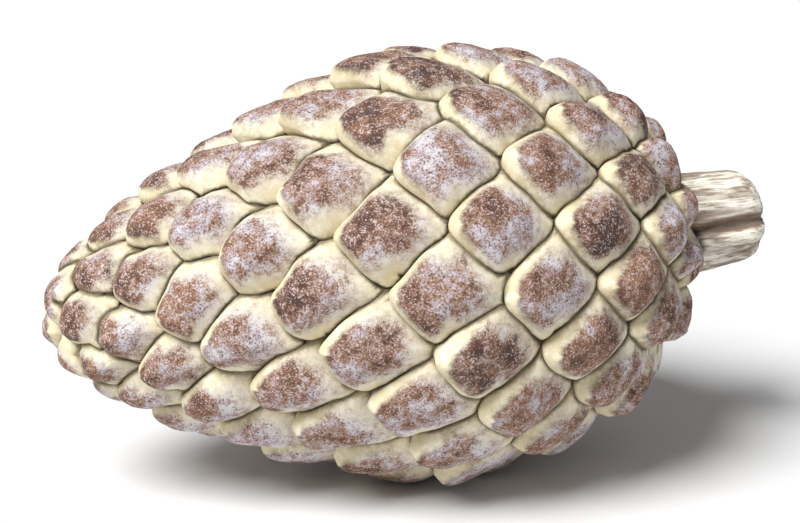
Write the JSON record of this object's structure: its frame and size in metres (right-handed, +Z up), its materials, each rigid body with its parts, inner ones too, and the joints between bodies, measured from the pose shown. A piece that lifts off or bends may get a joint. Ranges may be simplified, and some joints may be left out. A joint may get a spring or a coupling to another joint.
{
  "type": "closed conifer cone",
  "caption": "Closed egg-shaped conifer cone lying on its side, with overlapping rounded woody scales in spirals and a short grooved stalk.",
  "frame": {"origin": "middle of the bounding box's length and width, at the resting surface", "axes": "+X along the length towards the stalk, whose end is raised a little; +Z up from the resting surface"},
  "size_m": [0.1168, 0.0704, 0.0689],
  "materials": {
    "scales": "dull cream scale sides, with worn brown and frosted patches on the scale faces",
    "stalk_bark": "rough pale bark with grey-brown streaks along it"
  },
  "bodies": {
    "root": {"head": "scales", "stalk": "stalk_bark"}
  },
  "joints": []
}
